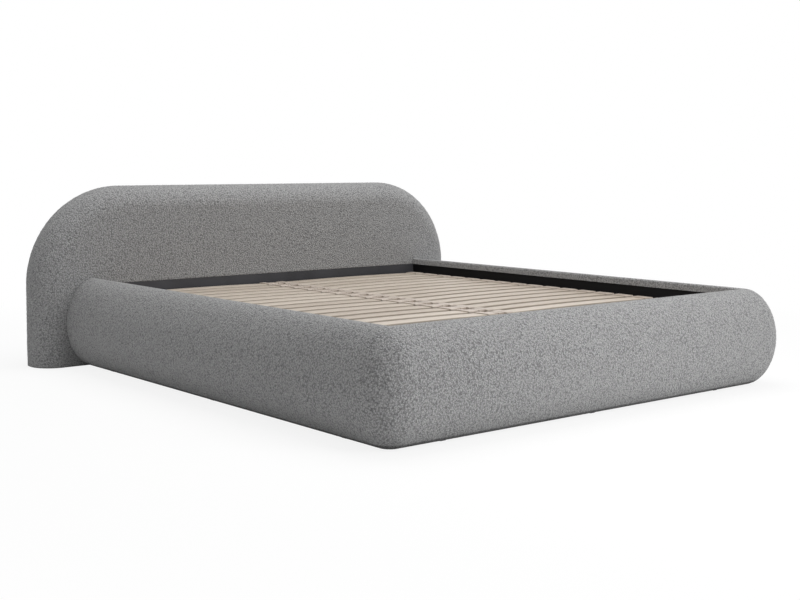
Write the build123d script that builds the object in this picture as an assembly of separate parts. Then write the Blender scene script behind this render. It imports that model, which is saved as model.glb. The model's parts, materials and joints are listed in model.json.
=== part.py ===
from build123d import *
import math
import os

os.makedirs("parts", exist_ok=True)

# An upholstered storage bed. X runs across the bed, +Y towards the headboard, +Z up.
# The origin is on the floor, in the middle of the whole bed. All lengths are millimetres.

# The mattress and the room left round it
mattress_width = 1800
mattress_length = 2000
mattress_side_room = 5
mattress_end_room = 10

# Padded rails: a board with a half oval of foam outside it, under a fabric cover
rail_height = 380
roll_depth = 132
board_thickness = 18
board_corner_radius = 12
cover_thickness = 3
inner_edge_radius = 8
corner_inset = 8
cover_flap_height = 30
foam_over_board = 12
glide_height = 3
glide_width = 22
glide_rows = 3

# Headboard
headboard_width = 2320
headboard_height = 778
headboard_thickness = 220
headboard_corner_radius = 450
headboard_flat_rim = 20
carcass_inset = 72
carcass_back_board = 12
carcass_rib_thickness = 18
carcass_uprights = 6

# Fits
seat_gap = 0.3
running_gap = 0.7
running_fit = 0.1
overrun = 20

# Slats and their holders
slat_count = 19
slat_width = 68
slat_thickness = 8
slat_bow = 4
slat_top_height = 310
cap_floor = 3
cap_roof = 2.5
cap_wall = 3
cap_slack = 1.5
cap_side_room = 0.75
cap_flange_margin = 4
cap_edge_chamfer = 2
outer_cap_length = 52
centre_cap_reach = 65
centre_cap_bare = 30
centre_web_width = 56
centre_web_drop = 1.5
frame_end_margin = 3

# Lift-up steel frame under the slats
tube_width = 30
tube_height = 30
centre_tube_width = 40
tube_wall = 2
tube_corner = 1.5
frame_end_gap = 10
cleat_width = 22
cleat_height = 40

# Lift fittings, measured from the pivot: ahead is towards the foot end
pivot_setback = 75
fitting_plate = 4
pivot_pin_radius = 6
pivot_head_radius = 9
pivot_head_height = 2
pivot_access_radius = 11
plate_lobe_radius = 16
pivot_lobe_radius = 26
lower_stud_drop = 120
lower_lobe_radius = 22
plate_reach = 60
upper_lobe_drop = 25
middle_lobe_drop = 65
upper_stud_ahead = 280
upper_stud_drop = 31
arm_back_reach = 28
arm_end_margin = 26
arm_ear_radius = 13
stud_radius = 4
stud_nut_height = 1.5
stud_nut_radius = 9

# Gas struts: the rod hangs on the lower stud and the cylinder carries the upper eye
lift_angle = 40
strut_plane_inset = 17
strut_stretch = 1.44
strut_turn = 0.383
strut_tube_radius = 11
strut_bore_radius = 9
strut_rod_radius = 5
strut_guide_length = 16
strut_end_wall = 6
piston_radius = 8.6
piston_length = 8
eye_thickness = 8
lower_eye_radius = 9
upper_eye_radius = 11
upper_eye_clearance = 3
eye_neck_length = 20
eye_neck_width = 9
rod_exposed = 34
piston_room = 12

# Brackets, bolts and the storage floor
bracket_leg = 45
bracket_thickness = 4
bracket_base = 45
bracket_clearance = 12
bracket_bend_radius = 6
bolt_radius = 3
bolt_head_radius = 7
bolt_head_height = 3
bolt_fit = 0.1
bolt_length = 16
bolt_sides = 6
bearer_width = 45
bearer_height = 24
bearer_count = 4
floor_thickness = 4

# Places along a piece, as shares of its length
bracket_bolt_shares = (0.18, 0.82)
bearer_end_share = 0.06
glide_end_share = 0.1
headboard_glide_share = 0.42
upright_span_share = 0.86
cross_tube_share = 0.5

# Sizes worked out from those above
half_inner_width = mattress_width / 2 + mattress_side_room
inner_length = mattress_length + 2 * mattress_end_room
bed_length = roll_depth + inner_length + headboard_thickness
foot_inner_y = roll_depth - bed_length / 2
head_front_y = foot_inner_y + inner_length
headboard_back_y = bed_length / 2
roll_centre = inner_edge_radius - cover_thickness
base_height = glide_height + cover_thickness
board_top = rail_height - cover_thickness - foam_over_board
flap_bottom = rail_height - cover_flap_height

slat_end_bottom = slat_top_height - slat_bow - slat_thickness
cap_pocket_floor = slat_end_bottom - seat_gap
tube_top = cap_pocket_floor - cap_floor
tube_bottom = tube_top - tube_height
tube_middle = tube_top - tube_height / 2
cap_top = slat_end_bottom + slat_thickness + cap_slack + cap_roof
cleat_top = tube_bottom - seat_gap
cleat_bottom = cleat_top - cleat_height

plate_face = half_inner_width - fitting_plate
arm_outer = plate_face - running_gap
frame_half_width = arm_outer - fitting_plate
frame_head_y = head_front_y - frame_end_gap
frame_foot_y = foot_inner_y + frame_end_gap
pivot_y = head_front_y - pivot_setback
pivot_z = tube_middle
cap_width = slat_width + 2 * cap_side_room + 2 * cap_wall
flange_width = cap_width + 2 * cap_flange_margin
slat_first_y = frame_head_y - frame_end_margin - flange_width / 2
slat_last_y = frame_foot_y + frame_end_margin + flange_width / 2
slat_pitch = (slat_first_y - slat_last_y) / (slat_count - 1)
slat_inner_x = centre_cap_bare + cap_wall + seat_gap
slat_outer_x = frame_half_width - cap_wall - seat_gap

lower_stud_z = pivot_z - lower_stud_drop
upper_stud_y = pivot_y - upper_stud_ahead
upper_stud_z = pivot_z - upper_stud_drop
strut_plane_x = plate_face - strut_plane_inset
cleat_head_y = upper_stud_y - arm_end_margin - upper_eye_radius


def write(name, shape):
    """Writes one sub-part, a solid or a group of solids, under its node's name."""
    solids = shape.solids()
    export_step(solids[0] if len(solids) == 1 else Compound(children=solids), f"parts/{name}.step")


def write_pair(name, right):
    """Writes a right-hand sub-part and its mirror image on the left."""
    write(f"{name}_right", right)
    write(f"{name}_left", mirror(right, about=Plane.YZ))


def group(shapes):
    """Puts separate solids into one compound."""
    return Compound(children=[solid for shape in shapes for solid in shape.solids()])


def block(x_range, y_range, z_range):
    """A box between two places on each axis."""
    spans = [pair[1] - pair[0] for pair in (x_range, y_range, z_range)]
    corner = (x_range[0], y_range[0], z_range[0])
    return Pos(*corner) * Box(*spans, align=(Align.MIN, Align.MIN, Align.MIN))


def spaced(first, last, count):
    """Evenly spaced places from first to last."""
    return [first + (last - first) * step / (count - 1) for step in range(count)]


def disc_along_x(centre, start, end, radius):
    """A cylinder whose axis is X, from start to end, centred at centre = (y, z)."""
    plane = Plane(origin=(min(start, end), centre[0], centre[1]), x_dir=(0, 1, 0), z_dir=(1, 0, 0))
    return extrude(plane * Circle(radius), abs(end - start))


# Bolts
def bolt(seat, direction):
    """A hexagon screw whose head rests at seat and whose shank points along direction.

    The shank stands for the thread as well. It and its hole have six sides, because they are
    small and hidden.
    """
    plane = Plane(origin=seat, z_dir=direction)
    shank = extrude(plane * RegularPolygon(bolt_radius, bolt_sides), bolt_length)
    return shank + extrude(plane * RegularPolygon(bolt_head_radius, bolt_sides), -bolt_head_height)


def bolt_hole(seat, direction):
    """The hole that a screw at seat needs, a little wider and longer than its shank."""
    start = Plane(origin=seat, z_dir=direction).offset(-fitting_plate)
    hole = RegularPolygon(bolt_radius + bolt_fit, bolt_sides)
    return extrude(start * hole, fitting_plate + bolt_length + seat_gap)


def drilled(shape, seats):
    """A shape with a hole for each screw, given as (place, direction)."""
    for seat, direction in seats:
        shape = shape - bolt_hole(seat, direction)
    return shape


# Padded rails
def roll_face(shrink):
    """Section of a padded rail, drawn in by shrink: u is outwards from the board's inner face.

    The outside is half an oval as tall as the rail, which the floor side cuts flat, and the
    inner top edge is rounded.
    """
    half_width = roll_depth - roll_centre - shrink
    half_height = rail_height / 2 - shrink
    cut = glide_height + shrink
    turn = math.asin((cut - rail_height / 2) / half_height)
    foot = (roll_centre + half_width * math.cos(turn), cut)
    crest = (roll_centre, rail_height - shrink)
    inner = shrink - cover_thickness
    radius = roll_centre - inner
    oval = EllipticalCenterArc(
        (roll_centre, rail_height / 2), half_width, half_height, math.degrees(turn),
        arc_size=90 - math.degrees(turn),
    )
    corner = CenterArc((roll_centre, crest[1] - radius), radius, 90, 90)
    side = Polyline((inner, crest[1] - radius), (inner, cut), foot)
    return make_face([oval, corner, side])


def rail_sections():
    """The fabric cover's and the foam's sections."""
    outer = roll_face(0)
    inner = roll_face(cover_thickness)
    below_flap = Pos(-cover_thickness, 0) * Rectangle(
        cover_thickness, flap_bottom, align=(Align.MIN, Align.MIN)
    )
    board = Pos(0, 0) * Rectangle(board_thickness, board_top, align=(Align.MIN, Align.MIN))
    return outer - inner - below_flap, inner - board


corner_x = half_inner_width - corner_inset
corner_y = foot_inner_y + corner_inset


def side_roll(face):
    """A section carried along the right rail and half-way round the foot corner."""
    head_end = head_front_y - seat_gap
    start = Plane(origin=(half_inner_width, head_end, 0), x_dir=(1, 0, 0), z_dir=(0, -1, 0))
    end = Plane(origin=(half_inner_width, corner_y, 0), x_dir=(1, 0, 0), z_dir=(0, -1, 0))
    bend = revolve(end * face, Axis((corner_x, corner_y, 0), (0, 0, -1)), 45)
    return extrude(start * face, head_end - corner_y) + bend


def foot_roll(face):
    """A section carried along the foot rail and half-way round both corners."""
    start = Plane(origin=(corner_x, foot_inner_y, 0), x_dir=(0, -1, 0), z_dir=(-1, 0, 0))
    bend = revolve(start * face, Axis((corner_x, corner_y, 0), (0, 0, 1)), 45)
    return extrude(start * face, 2 * corner_x) + bend + mirror(bend, about=Plane.YZ)


def side_board():
    """The right rail's board, its outer foot corner rounded."""
    outer = half_inner_width + board_thickness
    end = foot_inner_y - board_thickness
    board = block((half_inner_width, outer), (end, head_front_y - seat_gap), (base_height, board_top))
    upright = board.edges().filter_by(Axis.Z).sort_by_distance((outer, end, base_height))[0]
    return fillet(upright, board_corner_radius)


def foot_board():
    """The foot rail's board, which fits between the side boards."""
    return block((-half_inner_width, half_inner_width),
                 (foot_inner_y - board_thickness, foot_inner_y), (base_height, board_top))


# Headboard
def arch_slab(inset, bottom, edge_radius):
    """The headboard's rounded slab, drawn in by inset on the front, back, sides and top."""
    half = headboard_width / 2 - inset
    top = headboard_height - inset
    radius = headboard_corner_radius - inset
    shoulder = top - radius
    left = CenterArc((radius - half, shoulder), radius, 90, 90)
    right = CenterArc((half - radius, shoulder), radius, 0, 90)
    outline = [right, Line(right @ 1, left @ 0), left,
               Polyline(left @ 1, (-half, bottom), (half, bottom), right @ 0)]
    plane = Plane(origin=(0, headboard_back_y - inset, 0), x_dir=(1, 0, 0), z_dir=(0, -1, 0))
    slab = extrude(plane * make_face(outline), headboard_thickness - 2 * inset)
    faces = slab.faces().sort_by(Axis.Y)
    rims = [edge for face in (faces[0], faces[-1]) for edge in face.edges()
            if edge.center().Z > bottom + overrun]
    return fillet(rims, edge_radius)


def carcass(front, back):
    """The inner box's arched outline, between two places along Y."""
    half = headboard_width / 2 - carcass_inset
    top = headboard_height - carcass_inset
    radius = headboard_corner_radius - carcass_inset
    outline = RectangleRounded(2 * half, 2 * top, radius)
    keep = Rectangle(2 * half, top - base_height, align=(Align.CENTER, Align.MIN))
    plane = Plane(origin=(0, back, 0), x_dir=(1, 0, 0), z_dir=(0, -1, 0))
    return extrude(plane * (outline & Pos(0, base_height) * keep), back - front)


carcass_front_y = head_front_y + board_thickness
front_board_back_y = carcass_front_y + board_thickness
carcass_back_y = headboard_back_y - board_thickness
back_board_front_y = carcass_back_y - carcass_back_board


def panel_recess():
    """The room in the headboard's front padding that the head end panel fills."""
    return block((-half_inner_width, half_inner_width),
                 (head_front_y - overrun, head_front_y + board_thickness), (0, flap_bottom))


def headboard():
    """Front and back boards, ribs between them, foam round them and the cover."""
    edge = headboard_thickness / 2 - headboard_flat_rim / 2
    outer = arch_slab(0, glide_height, edge)
    inner = arch_slab(cover_thickness, base_height, edge - cover_thickness)
    write("headboard_cover", outer - inner - panel_recess())
    foam = inner - carcass(carcass_front_y, carcass_back_y) - panel_recess()
    write("headboard_foam", foam)
    front = carcass(carcass_front_y, front_board_back_y)
    write("headboard_front_board", front)
    write("headboard_back_board", carcass(back_board_front_y, carcass_back_y))
    write("headboard_ribs", group(headboard_ribs()))


def headboard_ribs():
    """Uprights with a sill below and a head rail above, between the two boards."""
    depth = (front_board_back_y, back_board_front_y)
    reach = headboard_width / 2 - carcass_inset
    straight = headboard_width / 2 - headboard_corner_radius
    top = headboard_height - carcass_inset
    sill_top = base_height + carcass_rib_thickness
    head_bottom = top - carcass_rib_thickness
    ribs = [block((-reach, reach), depth, (base_height, sill_top))]
    ribs.append(block((-straight, straight), depth, (head_bottom, top)))
    span = straight * upright_span_share
    for x in spaced(-span, span, carcass_uprights):
        sides = (x - carcass_rib_thickness / 2, x + carcass_rib_thickness / 2)
        ribs.append(block(sides, depth, (sill_top, head_bottom)))
    return ribs


def head_panel():
    """The black board that closes the box at the headboard, flush with the padding above it."""
    panel = block((seat_gap - half_inner_width, half_inner_width - seat_gap),
                  (head_front_y, head_front_y + board_thickness),
                  (base_height, flap_bottom - seat_gap))
    seats = bracket_seats("head", 1)[1] + bracket_seats("head", -1)[1]
    write("head_end_panel", drilled(panel, seats))


# Corner brackets
bracket_top = cleat_bottom - bracket_clearance
bracket_height = bracket_top - bracket_base


def bracket_seats(end, side):
    """Bolt places of one corner bracket: those into the side board and those into the end board."""
    corner = head_front_y if end == "head" else foot_inner_y
    inwards = -1 if end == "head" else 1
    heights = [bracket_base + bracket_height * share for share in bracket_bolt_shares]
    along = corner + inwards * bracket_leg / 2
    across = side * (half_inner_width - bracket_leg / 2)
    face = side * (half_inner_width - bracket_thickness)
    into_side = [((face, along, z), (side, 0, 0)) for z in heights]
    into_end = [((across, corner + inwards * bracket_thickness, z), (0, -inwards, 0))
                for z in heights]
    return into_side, into_end


def corner_bracket(end):
    """A bent steel angle in the right-hand corner, with a rounded bend and rounded ends."""
    leg = Polyline((0, 0), (bracket_leg, 0), (bracket_leg, bracket_thickness),
                   (bracket_thickness, bracket_thickness), (bracket_thickness, bracket_leg),
                   (0, bracket_leg), close=True)
    angle = extrude(make_face(leg), bracket_height)
    bend = angle.edges().filter_by(Axis.Z).sort_by_distance((bracket_thickness, bracket_thickness))
    angle = fillet(bend[0], bracket_bend_radius)
    if end == "head":
        placed = Pos(half_inner_width, head_front_y, bracket_base) * Rot(0, 0, 180) * angle
    else:
        placed = Pos(half_inner_width, foot_inner_y, bracket_base) * Rot(0, 0, 90) * angle
    into_side, into_end = bracket_seats(end, 1)
    return drilled(placed, into_side + into_end)


def brackets():
    """The four corner brackets and all the bolts that hold them."""
    for end in ("head", "foot"):
        write_pair(f"corner_bracket_{end}", corner_bracket(end))
    seats = []
    for end in ("head", "foot"):
        for side in (-1, 1):
            into_side, into_end = bracket_seats(end, side)
            seats += into_side + into_end
    write("bracket_bolts", group([bolt(*seat) for seat in seats]))


def rails():
    """Boards, foam and covers of the two side rails and the foot rail."""
    cover, foam = rail_sections()
    right_board = side_board()
    left_board = mirror(right_board, about=Plane.YZ)
    end_board = foot_board()
    write_pair("rail_cover", side_roll(cover))
    write("rail_cover_foot", foot_roll(cover))
    write_pair("rail_foam", side_roll(foam) - right_board - end_board)
    write("rail_foam_foot", foot_roll(foam) - right_board - left_board - end_board)
    side_seats = bracket_seats("head", 1)[0] + bracket_seats("foot", 1)[0] + plate_seats()
    write_pair("rail_board", drilled(right_board, side_seats))
    foot_seats = bracket_seats("foot", 1)[1] + bracket_seats("foot", -1)[1]
    write("rail_board_foot", drilled(end_board, foot_seats))


# Box floor, cleats and glides
def box_floor():
    """Bearers on the floor with two thin panels over them."""
    reach = half_inner_width - seat_gap
    foot = foot_inner_y + seat_gap
    head = head_front_y - seat_gap
    ends = inner_length * bearer_end_share
    bearers = [block((-reach, reach), (y - bearer_width / 2, y + bearer_width / 2), (0, bearer_height))
               for y in spaced(foot + ends, head - ends, bearer_count)]
    write("floor_bearers", group(bearers))
    panel = block((seat_gap, reach), (foot, head), (bearer_height, bearer_height + floor_thickness))
    write_pair("floor_panel", panel)


def cleats():
    """Battens on the rails that carry the lift-up frame when it is down."""
    inner = half_inner_width - cleat_width
    foot = block((-half_inner_width, half_inner_width), (foot_inner_y, foot_inner_y + cleat_width),
                 (cleat_bottom, cleat_top))
    write("cleat_foot", foot)
    side = block((inner, half_inner_width), (foot_inner_y + cleat_width, cleat_head_y),
                 (cleat_bottom, cleat_top))
    write_pair("cleat", side)


def glides():
    """Felt pads under the rails and the headboard."""
    half = glide_width / 2
    under_board = half_inner_width + half
    ends = inner_length * glide_end_share
    places = []
    for y in spaced(foot_inner_y + ends, head_front_y - ends, glide_rows):
        places += [(-under_board, y), (under_board, y)]
    for x in spaced(ends - half_inner_width, half_inner_width - ends, glide_rows):
        places.append((x, foot_inner_y - half))
    reach = headboard_width * headboard_glide_share
    middle = (carcass_front_y + carcass_back_y) / 2
    for x in spaced(-reach, reach, glide_rows):
        places.append((x, middle))
    write("glides", group([block((x - half, x + half), (y - half, y + half), (0, glide_height))
                           for x, y in places]))


# Lift-up frame
def tube(x_range, y_range, along):
    """A hollow steel tube with eased corners, lying along "x" or "y"."""
    width = x_range[1] - x_range[0]
    length = y_range[1] - y_range[0]
    centre = (sum(x_range) / 2, sum(y_range) / 2)
    if along == "y":
        plane = Plane(origin=(centre[0], y_range[1], tube_middle), x_dir=(1, 0, 0), z_dir=(0, -1, 0))
        section_width, reach = width, length
    else:
        plane = Plane(origin=(x_range[0], centre[1], tube_middle), x_dir=(0, 1, 0), z_dir=(1, 0, 0))
        section_width, reach = length, width
    outer = Rectangle(section_width, tube_height)
    outer = chamfer(outer.vertices(), tube_corner)
    bore = Rectangle(section_width - 2 * tube_wall, tube_height - 2 * tube_wall)
    return extrude(plane * (outer - bore), reach)


def lift_frame():
    """The welded frame: two long tubes, two end tubes, a middle tube and two short cross tubes."""
    inner = frame_half_width - tube_width
    head_inner = frame_head_y - tube_width
    foot_inner = frame_foot_y + tube_width
    half_centre = centre_tube_width / 2
    side = tube((inner, frame_half_width), (frame_foot_y, frame_head_y), "y")
    access = disc_along_x((pivot_y, pivot_z), frame_half_width - tube_wall - running_gap,
                          frame_half_width + running_gap, pivot_access_radius)
    write_pair("frame_tube", side - access)
    write("frame_tube_head", tube((-inner, inner), (head_inner, frame_head_y), "x"))
    write("frame_tube_foot", tube((-inner, inner), (frame_foot_y, foot_inner), "x"))
    write("frame_tube_centre", tube((-half_centre, half_centre), (foot_inner, head_inner), "y"))
    cross = frame_foot_y + (frame_head_y - frame_foot_y) * cross_tube_share
    write_pair("frame_tube_cross", tube((half_centre, inner),
                                        (cross - tube_width / 2, cross + tube_width / 2), "x"))


def slat_places():
    """The slats' centres along the bed, from the head end to the foot end."""
    return spaced(slat_first_y, slat_last_y, slat_count)


def slat():
    """A bowed slat of the right-hand column at Y = 0."""
    middle = (slat_inner_x + slat_outer_x) / 2
    bottom = slat_end_bottom
    top = slat_end_bottom + slat_thickness
    under = ThreePointArc((slat_inner_x, bottom), (middle, bottom + slat_bow),
                          (slat_outer_x, bottom))
    over = ThreePointArc((slat_inner_x, top), (middle, top + slat_bow), (slat_outer_x, top))
    face = make_face([under, Line(under @ 1, over @ 1), over, Line(over @ 0, under @ 0)])
    plane = Plane(origin=(0, slat_width / 2, 0), x_dir=(1, 0, 0), z_dir=(0, -1, 0))
    return extrude(plane * face, slat_width)


def flange(x_range):
    """A holder's foot at Y = 0, which is wider than its sleeve and rests on the frame."""
    half = flange_width / 2
    return block(x_range, (-half, half), (tube_top, tube_top + cap_floor))


def sleeve(end, mouth):
    """A moulded sleeve at Y = 0 that takes a slat's end, from its closed end to its mouth."""
    outside = block((end, mouth), (-cap_width / 2, cap_width / 2), (tube_top, cap_top))
    long_edges = outside.faces().sort_by(Axis.Z)[-1].edges().filter_by(Axis.X)
    half = slat_width / 2 + cap_side_room
    pocket = block((end + cap_wall, mouth + overrun), (-half, half),
                   (cap_pocket_floor, cap_top - cap_roof))
    return chamfer(long_edges, cap_edge_chamfer) - pocket


def slats_and_caps():
    """Both columns of slats with their outer holders and the double ones in the middle."""
    outer_range = (-frame_half_width, outer_cap_length - frame_half_width)
    outer = mirror(flange(outer_range) + sleeve(*outer_range), about=Plane.YZ)
    inner_sleeve = sleeve(centre_cap_bare, centre_cap_reach)
    web = block((-centre_cap_bare, centre_cap_bare), (-centre_web_width / 2, centre_web_width / 2),
                (tube_top, cap_top - centre_web_drop))
    middle = flange((-centre_cap_reach, centre_cap_reach)) + web
    middle = middle + inner_sleeve + mirror(inner_sleeve, about=Plane.YZ)
    one = slat()
    write_pair("slats", group([Pos(0, y, 0) * one for y in slat_places()]))
    write_pair("slat_caps", group([Pos(0, y, 0) * outer for y in slat_places()]))
    write("slat_caps_centre", group([Pos(0, y, 0) * middle for y in slat_places()]))


# Lift fittings
def from_pivot(ahead, above):
    """A place in the side view, measured from the pivot: (y, z)."""
    return (pivot_y - ahead, pivot_z + above)


def plate_seats():
    """Where the right-hand fixed plate is bolted to the rail."""
    places = [from_pivot(plate_reach, -upper_lobe_drop - plate_lobe_radius),
              from_pivot(plate_reach, -lower_stud_drop),
              from_pivot(0, -middle_lobe_drop)]
    return [((plate_face, y, z), (1, 0, 0)) for y, z in places]


def side_plane(x):
    """A sketch plane across X whose sketch x is Y and whose sketch y is Z."""
    return Plane(origin=(x, 0, 0), x_dir=(0, 1, 0), z_dir=(1, 0, 0))


def stud(centre, start):
    """A round stud pointing inwards from start, with a thin nut past the strut's eye."""
    end = strut_plane_x - eye_thickness / 2 - seat_gap
    shank = disc_along_x(centre, end, start, stud_radius)
    nut = Plane(origin=(end, centre[0], centre[1]), z_dir=(-1, 0, 0))
    return shank + extrude(nut * RegularPolygon(stud_nut_radius, bolt_sides), stud_nut_height)


def fixed_plate():
    """The rail's plate: a steel plate with lobes round its bolts, the pivot and the lower stud."""
    rounds = [(from_pivot(0, 0), pivot_lobe_radius), (from_pivot(0, -lower_stud_drop), lower_lobe_radius)]
    rounds += [((seat[1], seat[2]), plate_lobe_radius) for seat, _ in plate_seats()]
    edges = [CenterArc(place, radius, 0, 360) for place, radius in rounds]
    plate = extrude(side_plane(plate_face) * make_hull(edges), fitting_plate)
    bore = disc_along_x(from_pivot(0, 0), plate_face - overrun, half_inner_width + overrun,
                        pivot_pin_radius + running_fit)
    return drilled(plate - bore, plate_seats())


def pivot_pin():
    """The rivet through the fixed plate and the arm, its head inside the tube."""
    head_end = frame_half_width - tube_wall - seat_gap
    shank = disc_along_x((pivot_y, pivot_z), head_end, half_inner_width, pivot_pin_radius)
    head = disc_along_x((pivot_y, pivot_z), head_end - pivot_head_height, head_end, pivot_head_radius)
    return shank + head


def lift_arm():
    """The frame's plate: a bar on the tube's outer face with an ear down to the upper stud."""
    half = tube_height / 2
    back = pivot_y + arm_back_reach
    front = upper_stud_y - arm_end_margin
    bar = Pos((back + front) / 2, pivot_z) * SlotOverall(back - front, tube_height)
    ear = make_hull([CenterArc((upper_stud_y, upper_stud_z), arm_ear_radius, 0, 360),
                     CenterArc((upper_stud_y, pivot_z), half, 0, 360)])
    arm = extrude(side_plane(frame_half_width) * (bar + ear), fitting_plate)
    bore = disc_along_x((pivot_y, pivot_z), frame_half_width - overrun, arm_outer + overrun,
                        pivot_pin_radius + running_fit)
    return arm - bore


def fittings():
    """Fixed plates, the frame's arms, pivot pins, strut studs and plate bolts."""
    write_pair("hinge_plate", fixed_plate())
    write_pair("lift_arm", lift_arm())
    small = {
        "pivot_pins": pivot_pin(),
        "strut_studs_lower": stud(from_pivot(0, -lower_stud_drop), plate_face),
        "strut_studs_upper": stud((upper_stud_y, upper_stud_z), frame_half_width),
        "hinge_plate_bolts": group([bolt(*seat) for seat in plate_seats()]),
    }
    for name, right in small.items():
        write(name, group([right, mirror(right, about=Plane.YZ)]))


# Gas struts
rest_rise = upper_stud_z - lower_stud_z
rest_angle = math.degrees(math.atan2(rest_rise, upper_stud_ahead)) + strut_turn
rest_length = math.hypot(rest_rise, upper_stud_ahead)
strut_length = rest_length + strut_stretch
open_turn = math.radians(lift_angle)
open_ahead = upper_stud_ahead * math.cos(open_turn) + upper_stud_drop * math.sin(open_turn)
open_rise = upper_stud_ahead * math.sin(open_turn) - upper_stud_drop * math.cos(open_turn)
strut_stroke = math.hypot(open_ahead, open_rise + lower_stud_drop) - rest_length
rod_mouth = eye_neck_length + rod_exposed
rod_reach = rod_mouth + strut_guide_length + strut_stroke + piston_room


def strut_plane(along):
    """A plane square to the strut, at a distance along it from the lower eye."""
    slope = math.radians(rest_angle)
    place = (strut_plane_x, pivot_y - along * math.cos(slope), lower_stud_z + along * math.sin(slope))
    return Plane(origin=place, x_dir=(1, 0, 0), z_dir=(0, -math.cos(slope), math.sin(slope)))


def round_bar(start, end, radius):
    """A round bar along the strut."""
    return extrude(strut_plane(start) * Circle(radius), end - start)


def eye(along, radius, bore, neck):
    """A flat eye whose neck runs from the eye's centre to a distance along the strut."""
    centre = strut_plane(along)
    flat = Plane(origin=centre.origin, x_dir=centre.z_dir, z_dir=(1, 0, 0)).offset(-eye_thickness / 2)
    reach = neck - along
    shank = Pos(reach / 2, 0) * Rectangle(abs(reach), eye_neck_width)
    return extrude(flat * (Circle(radius) + shank - Circle(bore)), eye_thickness)


def struts():
    """Both gas struts: the rod with its piston and lower eye, and the cylinder with its eye."""
    rod_start = eye_neck_length
    cylinder_end = strut_length - eye_neck_length
    rod = round_bar(rod_start, rod_reach, strut_rod_radius)
    rod = rod + round_bar(rod_reach, rod_reach + piston_length, piston_radius)
    shell = round_bar(rod_mouth, cylinder_end, strut_tube_radius)
    guide_end = rod_mouth + strut_guide_length
    shell = shell - round_bar(guide_end, cylinder_end - strut_end_wall, strut_bore_radius)
    shell = shell - round_bar(rod_mouth - overrun, guide_end + overrun,
                              strut_rod_radius + running_fit)
    write_pair("strut_rod", rod + eye(0, lower_eye_radius, stud_radius + running_fit, rod_start))
    upper_bore = stud_radius + upper_eye_clearance
    write_pair("strut_cylinder", shell + eye(strut_length, upper_eye_radius, upper_bore, cylinder_end))


rails()
headboard()
head_panel()
brackets()
box_floor()
cleats()
glides()
lift_frame()
slats_and_caps()
fittings()
struts()

print("bed", headboard_width, bed_length, headboard_height)
print("slat pitch", round(slat_pitch, 2), "pivot", round(pivot_y, 3), round(pivot_z, 3))
print("strut", round(strut_length, 3), round(rest_angle, 3), "stroke", round(strut_stroke, 2))
print("lower stud", round(lower_stud_z, 3), "upper stud", round(upper_stud_y, 3), round(upper_stud_z, 3))
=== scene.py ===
import json
import math

import bmesh
import bpy
import numpy as np
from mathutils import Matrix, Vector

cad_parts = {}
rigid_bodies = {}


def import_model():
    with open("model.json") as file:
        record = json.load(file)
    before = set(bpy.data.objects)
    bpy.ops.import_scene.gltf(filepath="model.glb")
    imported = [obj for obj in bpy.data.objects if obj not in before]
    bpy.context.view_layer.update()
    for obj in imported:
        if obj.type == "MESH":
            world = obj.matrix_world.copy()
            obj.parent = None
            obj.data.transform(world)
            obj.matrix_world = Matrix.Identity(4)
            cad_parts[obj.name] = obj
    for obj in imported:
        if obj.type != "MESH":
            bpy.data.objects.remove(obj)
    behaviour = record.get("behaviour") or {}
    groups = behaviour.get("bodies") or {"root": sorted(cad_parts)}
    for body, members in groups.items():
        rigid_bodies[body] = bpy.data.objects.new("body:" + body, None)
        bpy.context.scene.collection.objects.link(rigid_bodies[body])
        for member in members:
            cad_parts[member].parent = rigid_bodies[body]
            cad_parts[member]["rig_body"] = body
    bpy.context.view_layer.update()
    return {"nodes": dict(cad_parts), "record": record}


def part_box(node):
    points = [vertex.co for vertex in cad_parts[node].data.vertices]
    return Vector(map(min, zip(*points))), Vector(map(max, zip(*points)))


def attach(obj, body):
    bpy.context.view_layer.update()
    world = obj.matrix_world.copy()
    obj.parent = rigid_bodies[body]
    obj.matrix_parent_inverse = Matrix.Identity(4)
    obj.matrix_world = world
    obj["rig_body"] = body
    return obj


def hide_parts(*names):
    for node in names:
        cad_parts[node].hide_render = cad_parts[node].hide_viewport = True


# The upholstered storage bed's looks. Everything is in metres, +Y towards the headboard.
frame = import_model()

# Cover and foam. SEAT is the gap to a board that the cloth lies on, FLAP_HEM the height of the
# cloth's hem in the well, and HEM_DROP how much lower that line runs at the headboard's sides.
# SWELL_ROOM and HEAD_ROOM are what the shapes stand back for the swelling to fill, and HEAD_GAP and
# END_GAP what the rails' ends stand back from their neighbours.
COVER = 0.003
SEAT = 0.0003
FLAP_HEM = 0.350
HEM_DROP = 0.150
INNER_EDGE = 0.008
CORNER_INSET = 0.008
RIM_RADIUS = 0.100
ARCH_RADIUS = 0.425
LIP_RADIUS = 0.004
SWELL_ROOM = 0.003
HEAD_ROOM = 0.004
HEAD_GAP = 0.001
END_GAP = 0.0001

# The curls that stand on the cloth: CURL is their wavelength, and where the cover may swell less
# than CURL_ROOM they are lower
CURL = 0.0125
CURL_HEIGHT = 0.0009
CURL_ROOM = 0.0015
CURL_WAVES = 48
CURL_SPREAD = (0.8, 1.35)

# How far the covers may swell, the power of the sine that spreads it over the rails' ovals, the
# air and cloth that swell them, and the foam's share inside
RAIL_SWELL = 0.008
HEAD_SWELL = 0.0015
SWELL_POWER = 0.8
FIXED_ROOM = 0.0002
LEAST_ROOM = 0.0001
FULL_SHARE = 0.9
SETTLE_ROWS = 24
SOFTENINGS = 6
AIR_PRESSURE = 4.0
STRETCH_STIFFNESS = 25
BEND_STIFFNESS = 2
SIMULATION_FRAMES = 20

# Places along the closed sections between which the covers' swelling fades
RAIL_FREE = (2.02, 2.97)
HEAD_INNER = (0.6, 6.4)
LIP_FREE = 2.02
FRONT_END = 3.5
FADE = 0.4

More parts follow.
